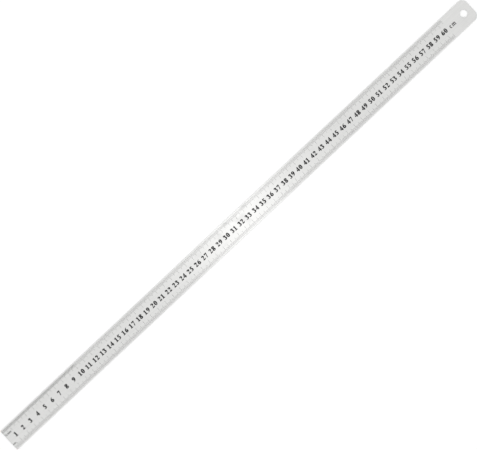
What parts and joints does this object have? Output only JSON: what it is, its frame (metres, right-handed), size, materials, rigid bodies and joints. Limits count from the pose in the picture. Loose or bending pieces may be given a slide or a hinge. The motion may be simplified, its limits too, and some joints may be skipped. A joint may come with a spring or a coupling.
{
  "type": "steel ruler",
  "caption": "Long flat stainless steel ruler, graduated in centimetres along both edges, square at the zero end and rounded round a hanging hole at the other.",
  "frame": {"origin": "middle of the back face, on the surface that the ruler lies on", "axes": "+X along the blade from the zero end of the scale to the hanging hole, +Y across it to the edge that the numbers' tops point to, +Z out of the graduated face"},
  "size_m": [0.637, 0.025, 0.001],
  "materials": {
    "stainless_steel": "satin, finely brushed along the length",
    "black_enamel": "satin black fill in the etched marks and numbers"
  },
  "bodies": {
    "root": {"blade": "stainless_steel"}
  },
  "joints": []
}
